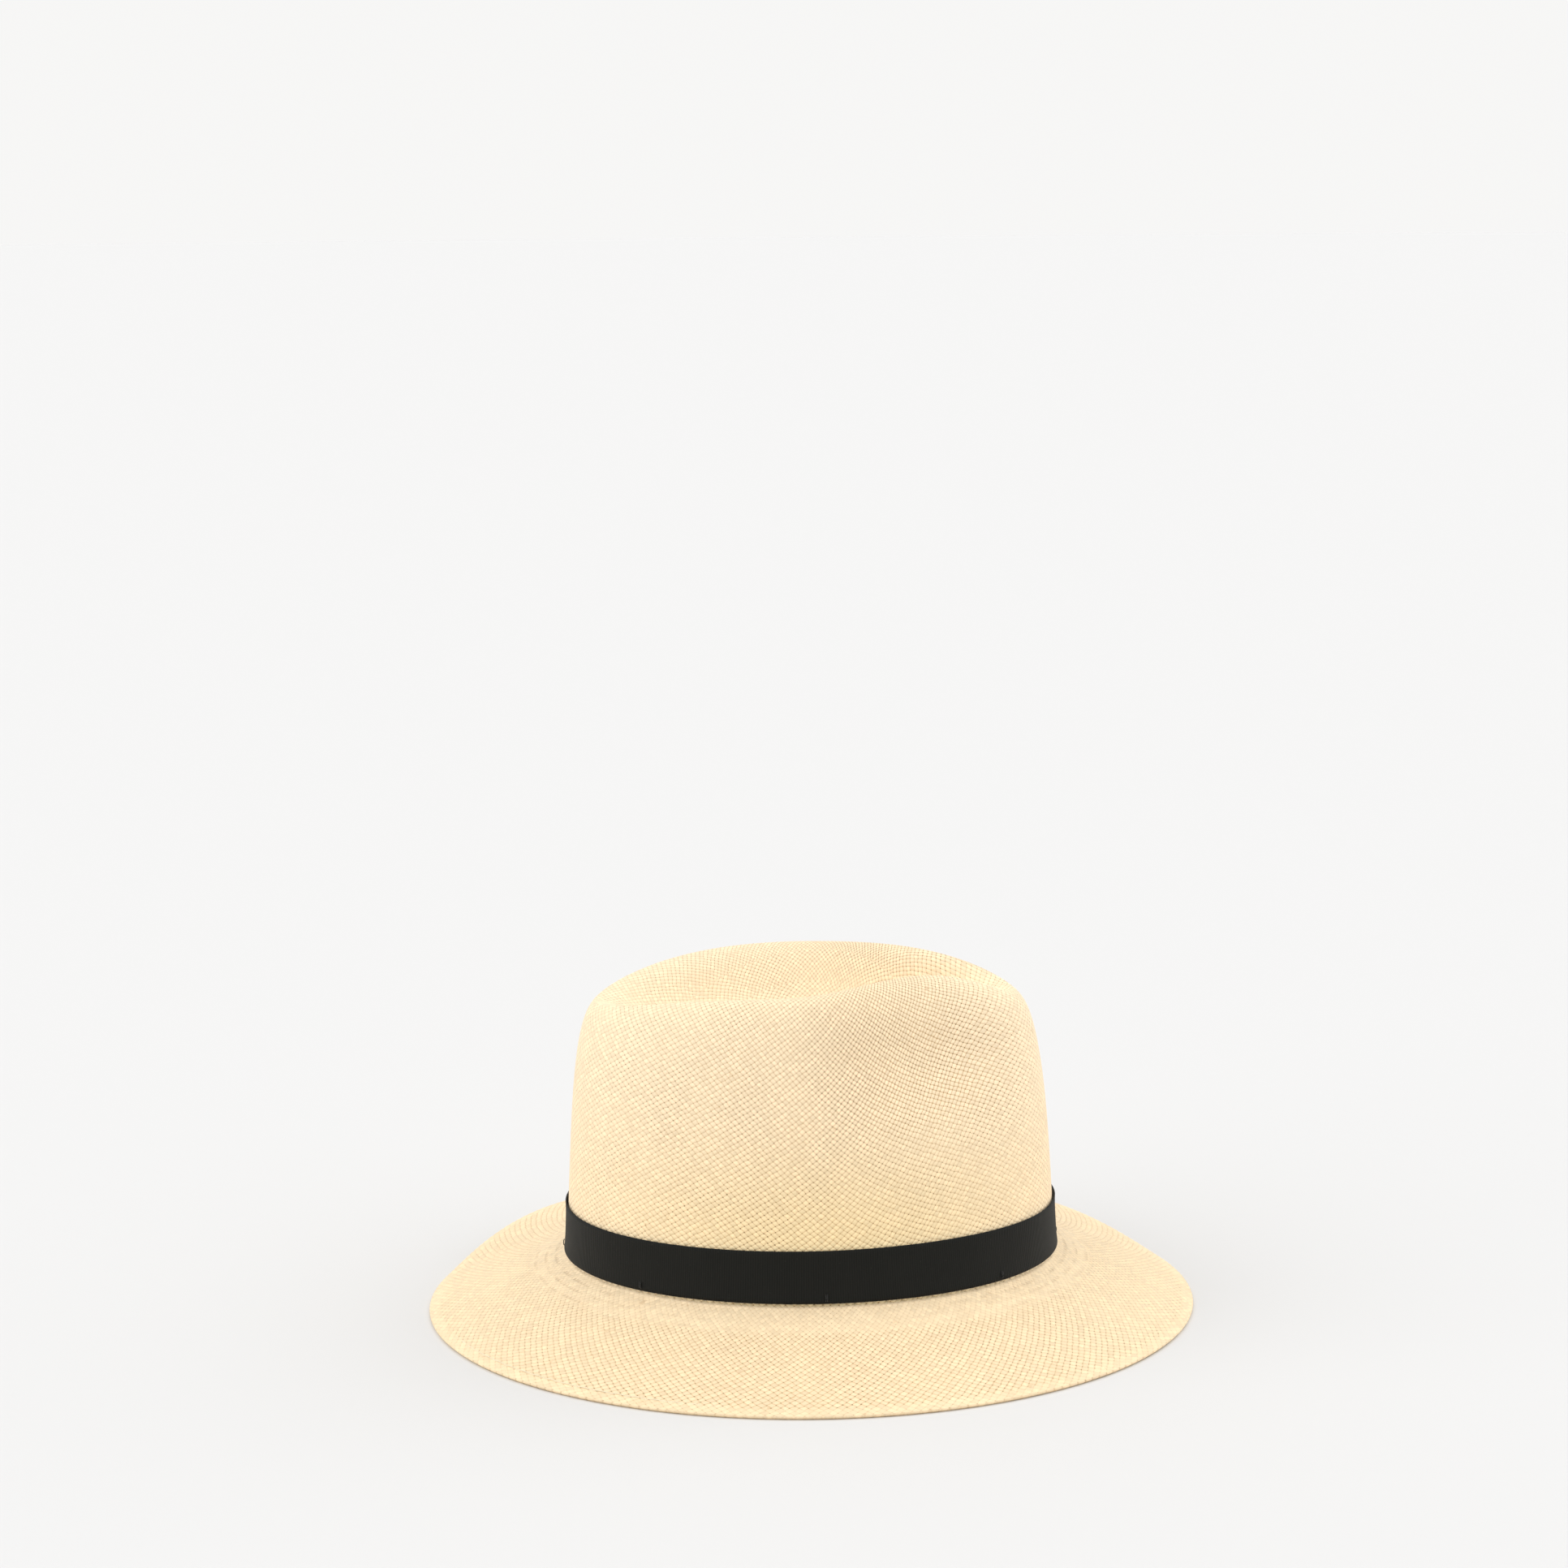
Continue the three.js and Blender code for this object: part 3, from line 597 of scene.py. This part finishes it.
# ---- Materials -----------------------------------------------------------------------------------
class Look:
    """A principled material and short ways of adding nodes to it. Values are numbers or sockets."""

    def __init__(self, name, roughness, **settings):
        self.material = bpy.data.materials.new(name)
        self.material.use_nodes = True
        self.tree = self.material.node_tree
        self.shader = self.tree.nodes["Principled BSDF"]
        self.shader.inputs["Roughness"].default_value = roughness
        for socket, value in settings.items():
            self.shader.inputs[socket.replace("_", " ")].default_value = value
        self.place = self.node("ShaderNodeTexCoord").outputs["Object"]

    def node(self, kind, **properties):
        node = self.tree.nodes.new(kind)
        for key, value in properties.items():
            setattr(node, key, value)
        return node

    def put(self, socket, value):
        if isinstance(value, bpy.types.NodeSocket):
            self.tree.links.new(value, socket)
        else:
            socket.default_value = value

    def math(self, operation, *values):
        node = self.node("ShaderNodeMath", operation=operation)
        for socket, value in zip(node.inputs, values):
            self.put(socket, value)
        return node.outputs[0]

    def times(self, value, *factors):
        for factor in factors:
            value = self.math("MULTIPLY", value, factor)
        return value

    def line(self, value, slope, start):
        return self.math("MULTIPLY_ADD", value, slope, start)

    def ramp(self, value, low, high, start=0.0, end=1.0):
        """start below low, end above high."""
        node = self.node("ShaderNodeMapRange", interpolation_type="SMOOTHSTEP")
        for socket, v in zip(node.inputs, (value, low, high, start, end)):
            self.put(socket, v)
        return node.outputs[0]

    def noise(self, scale, detail=2.0, seed=0.0):
        """Noise in the hat's own space; scale is in waves per millimetre."""
        shifted = self.node("ShaderNodeVectorMath", operation="ADD")
        self.put(shifted.inputs[0], self.place)
        shifted.inputs[1].default_value = (seed, seed * 0.7, seed * 0.3)
        node = self.node("ShaderNodeTexNoise")
        self.put(node.inputs["Vector"], shifted.outputs[0])
        node.inputs["Scale"].default_value = scale * 1000
        node.inputs["Detail"].default_value = detail
        return node.outputs[0]

    def height(self):
        """Height above the floor in millimetres."""
        split = self.node("ShaderNodeSeparateXYZ")
        self.put(split.inputs[0], self.place)
        return self.times(split.outputs["Z"], 1000)

    def random(self, value):
        node = self.node("ShaderNodeTexWhiteNoise", noise_dimensions="1D")
        self.put(node.inputs["W"], value)
        return node.outputs[0]

    def mix(self, factor, a, b):
        node = self.node("ShaderNodeMix", data_type="RGBA")
        colours = [s for s in node.inputs if s.type == "RGBA"]
        self.put(node.inputs[0], factor)
        self.put(colours[0], a)
        self.put(colours[1], b)
        return next(s for s in node.outputs if s.type == "RGBA")

    def scaled(self, colour, factor):
        node = self.node("ShaderNodeVectorMath", operation="SCALE")
        self.put(node.inputs[0], colour)
        self.put(node.inputs["Scale"], factor)
        return node.outputs[0]

    def attribute(self, name):
        node = self.node("ShaderNodeAttribute", attribute_name=name)
        split = self.node("ShaderNodeSeparateXYZ")
        self.put(split.inputs[0], node.outputs["Vector"])
        return split.outputs

    def bump(self, height, distance, strength=1.0):
        """distance is in millimetres."""
        node = self.node("ShaderNodeBump")
        node.inputs["Strength"].default_value = strength
        node.inputs["Distance"].default_value = distance / 1000
        self.put(node.inputs["Height"], height)
        self.put(self.shader.inputs["Normal"], node.outputs[0])

    def colour(self, value):
        self.put(self.shader.inputs["Base Color"], value)


def rgb(r, g, b):
    return (r, g, b, 1.0)


CREAM_STRAW, TAN_STRAW = rgb(1.0, 0.81, 0.54), rgb(0.97, 0.755, 0.485)
# Painted light: the first is straw paled as on the brightly lit upper crown, the second is straw warmed by
# light thrown up from the brim.
LIT_TOP_STRAW, BOUNCE_LIT_STRAW = rgb(1.0, 0.83, 0.60), rgb(0.955, 0.765, 0.43)
JOINT_SHADE, FLECK_SHADE = rgb(0.66, 0.40, 0.16), rgb(0.62, 0.38, 0.18)
HOLE_SHADE, DASH_SHADE = rgb(0.28, 0.17, 0.08), rgb(0.52, 0.34, 0.18)
STRAW_SHADE = 0.845              # before the tints of strands, crossings and patches are added


def weave_zones(look, turn, reach, edge):
    """How much of each zone of the hat is at a point, from 0 to 1."""
    m, zones = look.math, SimpleNamespace()
    zones.brim = m("LESS_THAN", reach, 0.0)
    zones.crown = m("SUBTRACT", 1.0, zones.brim)
    # The two long sides of the hat and its two ends.
    endwise = m("COSINE", m("MULTIPLY", turn, 2 * TAU))
    zones.side = look.line(endwise, -0.5, 0.5)
    zones.ends = look.line(endwise, 0.4, 0.6)
    # The finished strip along the edge, and the rows of finer weaving beside the band.
    zones.hem = look.ramp(edge, HEM_FROM, HEM_TO, 1.0, 0.0)
    zones.from_band = m("MULTIPLY", reach, -1.0)
    near_band = look.ramp(zones.from_band, RINGS_FROM, RINGS_TO, 1.0, 0.0)
    zones.rings = look.times(zones.brim, near_band)
    # Painted shadow: the brim made darker beside the band on the hat's long sides, where the crown shades it.
    zones.beside_band = look.times(zones.brim, zones.side, look.ramp(zones.from_band, 2, 14, 1.0, 0.0))
    zones.plain = look.times(look.line(zones.hem, -0.6, 1.0), look.line(zones.rings, -0.6, 1.0))
    # The weave is pulled open where the crown is pinched.
    from_pinch = m("ABSOLUTE", m("SUBTRACT", m("PINGPONG", turn, 0.5), PINCH_ANGLE / TAU))
    zones.strain = look.times(look.ramp(from_pinch, 0.03, 0.14, 1.0, 0.0),
                              look.ramp(look.height(), *PINCH_OPENS), look.ramp(reach, 34, 60))
    return zones


def strand_crossings(look, turn, reach, brim):
    """The crossing of two strands that a point lies in: the place inside it, and its tints."""
    m, crossing = look.math, SimpleNamespace()
    strands = m("MULTIPLY", brim, BRIM_STRANDS)
    for distance, added in CROWN_STRANDS:
        strands = look.line(m("GREATER_THAN", reach, distance), added, strands)
    growth = look.line(brim, BRIM_GROWTH - CROWN_GROWTH, CROWN_GROWTH)
    around, along = m("MULTIPLY", turn, strands), m("MULTIPLY", reach, growth)
    # The strands wander a little, so that no two crossings are alike.
    wander = [look.line(look.noise(0.33, 1, seed), 2 * STRAND_WANDER, -STRAND_WANDER)
              for seed in (12.3, 17.9)]
    first = m("ADD", m("ADD", along, around), wander[0])
    second = m("ADD", m("SUBTRACT", along, around), wander[1])
    # From -0.5 to 0.5 each way, first by the two directions and then by the strand that lies on top.
    u, v = (m("SUBTRACT", m("FRACT", x), 0.5) for x in (first, second))
    over = m("FLOORED_MODULO", m("ADD", m("FLOOR", first), m("FLOOR", second)), 2.0)
    swap = m("MULTIPLY", over, m("SUBTRACT", v, u))
    crossing.corners = u, v
    crossing.across, crossing.length = m("ADD", u, swap), m("SUBTRACT", v, swap)
    ids = [m("FLOORED_MODULO", m("FLOOR", x), strands) for x in (first, second)]
    tints = [look.random(m("ADD", i, seed)) for i, seed in zip(ids, (0.37, 311.7))]
    crossing.strand_tint = look.line(over, m("SUBTRACT", tints[1], tints[0]), tints[0])
    crossing.own_tint = look.random(look.line(ids[0], 7.31, ids[1]))
    return crossing


def weave_openings(look, crossing, zones):
    """The small holes where the strands' corners meet, and the joints along their edges: real dark marks,
    made darker on the hat's long sides as painted shade of the weave's relief.
    """
    m = look.math
    corner = [look.ramp(m("ABSOLUTE", x), 0.32, 0.48) for x in crossing.corners]
    loose = look.ramp(look.noise(0.05, 2, 5.3), 0.35, 0.65, 0.45, 1.0)
    uneven = m("ADD", zones.strain, look.line(crossing.own_tint, 0.8, 0.5))
    # The factor from zones.side is painted shade: light grazing the weave's relief on the long sides.
    hole = look.times(*corner, loose, zones.plain, uneven, look.line(zones.side, 0.4, 0.8))
    edges = m("ADD", look.ramp(m("ABSOLUTE", crossing.across), 0.30, 0.5),
              look.ramp(m("ABSOLUTE", crossing.length), 0.34, 0.5))
    # Painted shade: the joints are deepened on the long sides too.
    depth = look.line(zones.strain, 0.36, look.line(zones.side, 0.24, 0.20))
    return hole, look.times(edges, zones.plain, depth)


def ring_rows(look, turn, zones):
    """Grooves between the finer rows beside the band, and the dashes along them."""
    m = look.math
    from_middle = m("SUBTRACT", m("FRACT", m("DIVIDE", zones.from_band, RING_PITCH)), 0.5)
    from_dash = m("SUBTRACT", m("FRACT", m("MULTIPLY", turn, RING_DASHES)), 0.5)
    broken = look.ramp(look.noise(0.13, 2, 7.7), 0.40, 0.62)
    # The rows are the same all round; zones.ends makes them show more towards the hat's two ends, as painted
    # shade of light falling across them.
    groove = look.times(zones.rings, broken, zones.ends, look.ramp(m("ABSOLUTE", from_middle), 0.24, 0.46))
    return groove, look.times(groove, look.ramp(m("ABSOLUTE", from_dash), 0.15, 0.35))


def straw_colour(look, crossing, zones, hole, joint, dashes):
    """Cream straw that varies from place to place and strand to strand, with painted light and shade laid on
    and its dark marks laid over.
    """
    patchy = look.noise(0.11, 2, 3.1)
    shade = STRAW_SHADE
    # Painted shade among these: the brim is darker than the crown, as less light falls on it, and darker
    # still beside the band. The other terms are the straw's own tone.
    for value, amount in ((crossing.strand_tint, 0.05), (crossing.own_tint, 0.12), (zones.brim, -0.06),
                          (zones.beside_band, -0.06), (look.noise(0.02, 2), 0.07),
                          (look.noise(0.9, 1, 1.7), 0.12)):
        shade = look.line(value, amount, shade)
    # Painted light: the crown is paler higher up, where light from above falls strongly on it.
    upper = look.times(zones.crown, look.ramp(look.height(), 45, 130, 0.2, 0.5))
    # Painted light: warmer low on the crown's long sides, from light thrown up off the brim.
    bounce_lit_sides = look.times(zones.crown, zones.side, look.ramp(look.height(), 40, 100, 0.8, 0.0))
    fleck = look.times(look.ramp(look.noise(0.35, 2, 9.1), 0.66, 0.74), look.ramp(patchy, 0.45, 0.6))
    colour = look.mix(patchy, CREAM_STRAW, TAN_STRAW)
    colour = look.mix(upper, colour, LIT_TOP_STRAW)
    colour = look.mix(bounce_lit_sides, colour, BOUNCE_LIT_STRAW)
    colour = look.scaled(colour, shade)
    for mark, amount, tint in ((joint, 1.0, JOINT_SHADE), (fleck, 0.30, FLECK_SHADE),
                               (hole, 0.8, HOLE_SHADE), (dashes, 0.42, DASH_SHADE)):
        colour = look.mix(look.times(mark, amount), colour, tint)
    return colour


def straw_relief(look, turn, edge, crossing, zones, hole, groove):
    """Height of the weave: a rounded bead at each crossing, and slanting ribs on the hem."""
    m = look.math
    bead = look.times(m("COSINE", m("MULTIPLY", crossing.across, 2.7)),
                      look.line(m("COSINE", m("MULTIPLY", crossing.length, math.pi)), 0.5, 0.5))
    rib = m("ABSOLUTE", m("SINE", look.line(turn, math.pi * HEM_RIBS, m("MULTIPLY", edge, 1.2))))
    height = look.times(bead, look.line(zones.plain, 0.8, 0.2))
    for value, amount in ((hole, -0.6), (groove, -0.7), (look.times(zones.hem, rib), 0.25)):
        height = look.line(value, amount, height)
    return height


def straw_look():
    look = Look("toquilla_straw_weave", 0.6, Specular_IOR_Level=0.3)
    turn, reach, edge = look.attribute("weave")
    zones = weave_zones(look, turn, reach, edge)
    crossing = strand_crossings(look, turn, reach, zones.brim)
    hole, joint = weave_openings(look, crossing, zones)
    groove, dashes = ring_rows(look, turn, zones)
    look.colour(straw_colour(look, crossing, zones, hole, joint, dashes))
    look.put(look.shader.inputs["Roughness"], look.line(crossing.own_tint, 0.12, 0.52))
    look.bump(straw_relief(look, turn, edge, crossing, zones, hole, groove), WEAVE_DEPTH, 0.85)
    return look.material


def ribbon_look(name, dark, light, rib_pitch):
    """Grosgrain: upright ribs along the strip, with fine cross threads."""
    look = Look(name, 0.7, Specular_IOR_Level=0.14, Sheen_Weight=0.05, Sheen_Roughness=0.45)
    m = look.math
    along, across, _ = look.attribute("strip")
    rib = m("ABSOLUTE", m("SINE", m("MULTIPLY", along, math.pi / rib_pitch)))
    yarn = m("ABSOLUTE", m("SINE", m("MULTIPLY", across, math.pi / 0.28)))
    patch = look.noise(0.08, 2, 2.2)
    lint = look.ramp(look.noise(1.1, 1, 4.4), 0.72, 0.8)
    tone = m("ADD", m("MULTIPLY", rib, 0.6), m("MULTIPLY", patch, 0.4))
    colour = look.mix(tone, dark, light)
    colour = look.mix(m("MULTIPLY", lint, 0.2), colour, rgb(0.07, 0.068, 0.06))
    look.colour(colour)
    look.put(look.shader.inputs["Roughness"], look.line(yarn, 0.12, 0.62))
    look.bump(look.line(yarn, 0.15, rib), 0.12, 0.7)
    return look.material


def leather_look():
    look = Look("roan_leather", 0.5, Specular_IOR_Level=0.4)
    m = look.math
    grain = look.node("ShaderNodeTexVoronoi", feature="DISTANCE_TO_EDGE")
    look.put(grain.inputs["Vector"], look.place)
    grain.inputs["Scale"].default_value = 1300
    pebble = look.ramp(grain.outputs["Distance"], 0.0, 0.25)
    patch = look.noise(0.03, 3, 1.1)
    colour = look.mix(patch, rgb(0.38, 0.22, 0.11), rgb(0.52, 0.33, 0.18))
    colour = look.scaled(colour, look.line(pebble, 0.12, 0.9))
    look.colour(colour)
    look.put(look.shader.inputs["Roughness"], look.line(patch, 0.2, 0.4))
    look.bump(pebble, 0.08, 0.6)
    return look.material


def thread_look(name, dark, light, twist):
    """Spun thread or wound piping: a slanting twist round the strip's length."""
    look = Look(name, 0.65, Specular_IOR_Level=0.3, Sheen_Weight=0.2)
    m = look.math
    along, across, _ = look.attribute("strip")
    ply = m("ABSOLUTE", m("SINE", look.line(along, math.pi / twist, m("MULTIPLY", across, 1.6))))
    fuzz = look.noise(1.5, 2, 6.1)
    look.colour(look.mix(look.line(fuzz, 0.4, m("MULTIPLY", ply, 0.6)), dark, light))
    look.bump(ply, 0.08, 0.7)
    return look.material


def label_look():
    look = Look("woven_label", 0.8, Sheen_Weight=0.15)
    m = look.math
    along, across, _ = look.attribute("strip")
    warp, weft = (m("ABSOLUTE", m("SINE", m("MULTIPLY", x, math.pi / 0.35))) for x in (along, across))
    cloth = m("MULTIPLY", warp, weft)
    look.colour(look.mix(look.line(look.noise(0.2), 0.4, m("MULTIPLY", cloth, 0.6)),
                         rgb(0.70, 0.64, 0.54), rgb(0.88, 0.84, 0.76)))
    look.bump(cloth, 0.06, 0.6)
    return look.material


# ---- Floor, light and camera, with lengths in metres ---------------------------------------------
FLOOR_SIDES, FLOOR_RADIUS = 96, 40.0
FLOOR_COLOUR, ROOM_COLOUR = rgb(0.737, 0.737, 0.737), rgb(1.0, 0.995, 0.985)
WALL_LIGHT, CEILING_LIGHT, NEAR_SIDE = 0.93, 0.84, 0.38
CAMERA_DISTANCE = 1.4
CAMERA_ELEVATION, CAMERA_YAW = 0.326015, 0.0698132              # radians
CAMERA_ROLL, CAMERA_PAN = -0.0070238, 0.00717                   # radians
FOCAL, LOOK_ABOVE, PICTURE_WIDTH = 4111.6, 632.92, 1932         # in the same unit as each other
SENSOR = 36.0                                                   # millimetres


def floor_stage():
    turns = [TAU * k / FLOOR_SIDES for k in range(FLOOR_SIDES)]
    ring = [(FLOOR_RADIUS * math.cos(turn), FLOOR_RADIUS * math.sin(turn), 0.0) for turn in turns]
    mesh = bpy.data.meshes.new("floor")
    mesh.from_pydata(ring, [], [list(range(FLOOR_SIDES))])
    floor = bpy.data.objects.new("floor", mesh)
    bpy.context.scene.collection.objects.link(floor)
    material = bpy.data.materials.new("pale_floor")
    material.use_nodes = True
    shader = material.node_tree.nodes["Principled BSDF"]
    shader.inputs["Base Color"].default_value = FLOOR_COLOUR
    shader.inputs["Roughness"].default_value = 1.0
    shader.inputs["Specular IOR Level"].default_value = 0.0
    mesh.materials.append(material)


def sun(name, azimuth, elevation, strength, spread):
    """A soft directional light from azimuth (0 is the camera side, 90 the front of the hat)."""
    light = bpy.data.lights.new(name, "SUN")
    light.energy, light.angle = strength, math.radians(spread)
    lamp = bpy.data.objects.new(name, light)
    bpy.context.scene.collection.objects.link(lamp)
    a, e = math.radians(azimuth), math.radians(elevation)
    towards = Vector((math.sin(a) * math.cos(e), -math.cos(a) * math.cos(e), math.sin(e)))
    lamp.rotation_euler = towards.to_track_quat("Z", "Y").to_euler()


def surroundings():
    """An even pale room, a little darker overhead and high up behind the camera."""
    world = bpy.data.worlds.new("studio")
    bpy.context.scene.world = world
    world.use_nodes = True
    nodes, links = world.node_tree.nodes, world.node_tree.links
    background = nodes["Background"]
    split = nodes.new("ShaderNodeSeparateXYZ")
    links.new(nodes.new("ShaderNodeTexCoord").outputs["Generated"], split.inputs[0])

    def fade(axis, low, high, start, end):
        node = nodes.new("ShaderNodeMapRange")
        links.new(split.outputs[axis], node.inputs["Value"])
        for socket, value in zip(node.inputs[1:5], (low, high, start, end)):
            if isinstance(value, bpy.types.NodeSocket):
                links.new(value, socket)
            else:
                socket.default_value = value
        return node.outputs[0]

    above = fade("Z", 0.15, 0.9, WALL_LIGHT, CEILING_LIGHT)
    near = fade("Z", 0.08, 0.30, WALL_LIGHT, NEAR_SIDE * WALL_LIGHT)
    strength = fade("Y", -0.8, 0.0, near, above)
    background.inputs["Color"].default_value = ROOM_COLOUR
    links.new(strength, background.inputs["Strength"])


def camera():
    """Looks at the hat's right side from a little above, and from slightly behind its middle."""
    pitch = CAMERA_ELEVATION - math.atan(LOOK_ABOVE / FOCAL)
    turn = Matrix.Rotation(-CAMERA_YAW, 3, "Z")
    back, up = CAMERA_DISTANCE * math.cos(CAMERA_ELEVATION), CAMERA_DISTANCE * math.sin(CAMERA_ELEVATION)
    place = turn @ Vector((0, -back, up))
    forward = turn @ Vector((0, math.cos(pitch), -math.sin(pitch)))
    right = turn @ Vector((1, 0, 0))
    above = right.cross(forward)
    right, above = (right * math.cos(CAMERA_ROLL) + above * math.sin(CAMERA_ROLL),
                    above * math.cos(CAMERA_ROLL) - right * math.sin(CAMERA_ROLL))
    swing = Matrix.Rotation(CAMERA_PAN, 3, above)
    right, forward = swing @ right, swing @ forward
    data = bpy.data.cameras.new("camera")
    data.sensor_width, data.lens = SENSOR, FOCAL / PICTURE_WIDTH * SENSOR
    data.clip_end = 200.0
    eye = bpy.data.objects.new("camera", data)
    bpy.context.scene.collection.objects.link(eye)
    rotation = Matrix((right, above, -forward)).transposed()
    eye.matrix_world = Matrix.Translation(place) @ rotation.to_4x4()
    bpy.context.scene.camera = eye


# ---- Putting it together -------------------------------------------------------------------------
camera()
floor_stage()
surroundings()
sun("left_softbox", -68, 42, 1.22, 72)
sun("right_softbox", 85, 44, 1.16, 96)
bpy.context.scene.view_settings.view_transform = "Standard"

ribbon = ribbon_look("black_grosgrain", rgb(0.0045, 0.005, 0.004), rgb(0.012, 0.0125, 0.0105), 0.95)
lining = ribbon_look("black_lining_ribbon", rgb(0.006, 0.006, 0.006), rgb(0.020, 0.018, 0.018), 0.6)
black_thread = thread_look("black_sewing_thread", rgb(0.006, 0.006, 0.006), rgb(0.018, 0.018, 0.018), 0.5)
pale_thread = thread_look("waxed_seam_thread", rgb(0.55, 0.44, 0.28), rgb(0.85, 0.74, 0.54), 0.6)
hem_yarn = thread_look("pale_hem_thread", rgb(0.80, 0.66, 0.42), rgb(0.97, 0.88, 0.68), 0.7)
piping = thread_look("cloth_piping", rgb(0.36, 0.25, 0.15), rgb(0.62, 0.48, 0.33), 0.9)

straw_body(straw_look())
hatband(ribbon)
bow(ribbon)
keeper(ribbon)
band_tacks(black_thread)
sweatband(leather_look())
reed(piping)
seam(pale_thread)
rear_tape(lining)
little_bow(lining)
label(label_look(), pale_thread)
hem_thread(hem_yarn)
